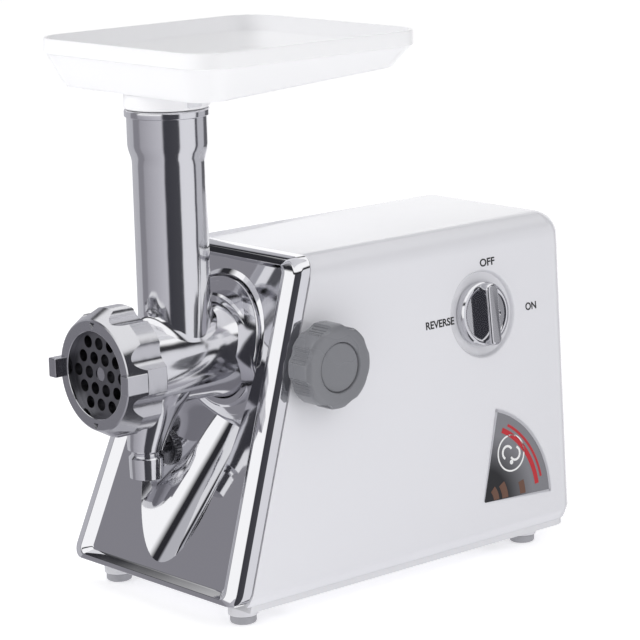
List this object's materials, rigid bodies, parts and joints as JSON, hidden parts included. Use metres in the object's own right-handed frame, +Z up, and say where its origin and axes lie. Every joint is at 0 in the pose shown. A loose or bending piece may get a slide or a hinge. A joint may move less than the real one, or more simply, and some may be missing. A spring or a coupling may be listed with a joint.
{
  "type": "electric meat grinder",
  "caption": "Table-top electric meat grinder: white housing with inclined polished front, aluminium grinding head with feed tube and tray, ring nut, locking knob and side dial.",
  "frame": {"origin": "on the plane the feet stand on, under the axis of the grinding head, midway between the front and rear feet", "axes": "+Z up, +X towards the side with the dial and the locking knob, -Y forward through the outlet"},
  "size_m": [0.1657, 0.3165, 0.3207],
  "materials": {
    "white_shell": "gloss",
    "white_base": "satin",
    "chrome_front": "mirror polish",
    "grey_hub": "satin",
    "badge_print": "gloss",
    "grey_rubber": "matt",
    "black_plastic": "matt",
    "cast_aluminium": "polished",
    "nut_aluminium": "satin",
    "knurled_steel": "knurled",
    "knife_steel": "ground",
    "plate_steel": "satin",
    "steel": "turned",
    "tray_plastic": "translucent",
    "knob_plastic": "satin",
    "dial_chrome": "polished",
    "gear_nylon": "satin",
    "gear_steel": "sintered",
    "case_plastic": "matt",
    "zinc_bracket": "zinc plated",
    "bronze": "sintered",
    "laminations": "laminated",
    "copper": "enamelled",
    "carbon": "matt",
    "fan_plastic": "satin"
  },
  "bodies": {
    "housing": {"housing_shell": "white_shell", "front_fascia": "chrome_front", "base_plate": "white_base", "side_badge": "badge_print", "rubber_feet": "grey_rubber", "base_screws": "steel", "cord_inlet": "black_plastic", "hub_collar": "grey_hub", "rotary_switch": "black_plastic", "gearbox_case": "case_plastic", "gearbox_cover": "zinc_bracket", "gearbox_screws": "steel", "output_front_bush": "bronze", "output_rear_bush": "bronze", "first_axle": "steel", "second_axle": "steel", "motor_front_bracket": "zinc_bracket", "motor_rear_bracket": "zinc_bracket", "motor_stator": "laminations", "motor_bolts": "steel", "motor_bearings": "bronze", "field_coils": "copper", "brush_holders": "bronze", "carbon_brushes": "carbon"},
    "rotor": {"rotor_shaft": "steel", "rotor_core": "laminations", "rotor_winding": "copper", "commutator": "copper", "cooling_fan": "fan_plastic", "motor_pinion": "gear_steel"},
    "first_shaft": {"first_gear": "gear_nylon", "first_pinion": "gear_steel"},
    "second_shaft": {"second_gear": "gear_steel", "second_pinion": "gear_steel"},
    "output": {"output_gear": "gear_steel", "output_shaft": "steel"},
    "head": {"grinder_head": "cast_aluminium", "post_screw": "knurled_steel"},
    "auger": {"feed_screw": "cast_aluminium", "screw_washer": "black_plastic", "cross_knife": "knife_steel"},
    "plate": {"cutting_plate": "plate_steel"},
    "nut": {"ring_nut": "nut_aluminium"},
    "tray": {"feed_tray": "tray_plastic"},
    "washer": {"lock_washer": "steel"},
    "knob": {"lock_knob": "knob_plastic", "lock_knob_cap": "knob_plastic", "lock_stud": "steel"},
    "dial": {"dial_knob": "dial_chrome", "dial_spindle": "steel"}
  },
  "joints": [
    {"name": "rotor_spin", "type": "hinge", "parent": "housing", "child": "rotor", "pos_m": [0, 0, 0.075], "axis": [0, 1, 0], "continuous": true},
    {"name": "first_spin", "type": "hinge", "parent": "housing", "child": "first_shaft", "pos_m": [-0.028, 0, 0.096], "axis": [0, 1, 0], "continuous": true},
    {"name": "second_spin", "type": "hinge", "parent": "housing", "child": "second_shaft", "pos_m": [0.01221, 0, 0.10081], "axis": [0, 1, 0], "continuous": true},
    {"name": "output_spin", "type": "hinge", "parent": "housing", "child": "output", "pos_m": [0, 0, 0.141], "axis": [0, 1, 0], "continuous": true},
    {"name": "head_slide", "type": "slide", "parent": "housing", "child": "head", "axis": [0, -1, 0], "range_m": [0, 0.03]},
    {"name": "auger_spin", "type": "hinge", "parent": "head", "child": "auger", "pos_m": [0, -0.1, 0.141], "axis": [0, 1, 0], "continuous": true},
    {"name": "plate_slide", "type": "slide", "parent": "head", "child": "plate", "axis": [0, -1, 0], "range_m": [0, 0.0161]},
    {"name": "nut_turn", "type": "hinge", "parent": "plate", "child": "nut", "pos_m": [0, -0.15, 0.141], "axis": [0, -1, 0], "range_deg": [0, 1920]},
    {"name": "tray_lift", "type": "slide", "parent": "head", "child": "tray", "axis": [0, 0, 1], "range_m": [0, 0.03]},
    {"name": "lock_travel", "type": "slide", "parent": "housing", "child": "washer", "axis": [1, 0, 0], "range_m": [0, 0.0032]},
    {"name": "lock_turn", "type": "hinge", "parent": "washer", "child": "knob", "pos_m": [0.08, -0.0602, 0.1415], "axis": [1, 0, 0], "range_deg": [0, 900]},
    {"name": "dial_turn", "type": "hinge", "parent": "housing", "child": "dial", "pos_m": [0.06387, 0.0732, 0.1476], "axis": [0.995, 0, 0.1], "range_deg": [-90, 90]}
  ],
  "couplings": [
    {"joint": "first_spin", "follows": "rotor_spin", "ratio": -0.16667},
    {"joint": "second_spin", "follows": "rotor_spin", "ratio": 0.047619},
    {"joint": "output_spin", "follows": "rotor_spin", "ratio": -0.015873},
    {"joint": "auger_spin", "follows": "rotor_spin", "ratio": -0.015873},
    {"joint": "plate_slide", "follows": "nut_turn", "m_per_rad": 0.00047746},
    {"joint": "lock_travel", "follows": "lock_turn", "m_per_rad": 0.00019894}
  ]
}
